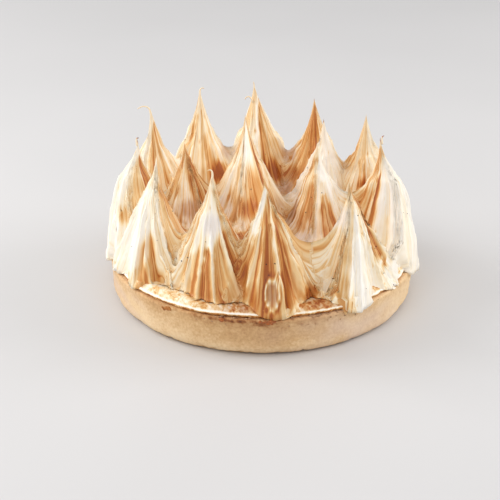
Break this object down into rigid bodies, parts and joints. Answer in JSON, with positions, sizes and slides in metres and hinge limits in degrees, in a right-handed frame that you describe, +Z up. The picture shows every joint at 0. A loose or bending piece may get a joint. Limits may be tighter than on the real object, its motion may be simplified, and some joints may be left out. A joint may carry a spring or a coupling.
{
  "type": "lemon meringue pie",
  "caption": "Whole round lemon meringue pie: a low plain pastry case topped with toasted meringue pulled up into tall fluted peaks.",
  "frame": {"origin": "middle of the pastry case's flat base, on the surface it stands on", "axes": "+Z up; the side shown to the front faces -Y"},
  "size_m": [0.235, 0.2331, 0.1354],
  "materials": {
    "pastry": null,
    "meringue": null
  },
  "bodies": {
    "root": {"crust": "pastry", "meringue_layer": "meringue", "meringue_peaks": "meringue"}
  },
  "joints": []
}
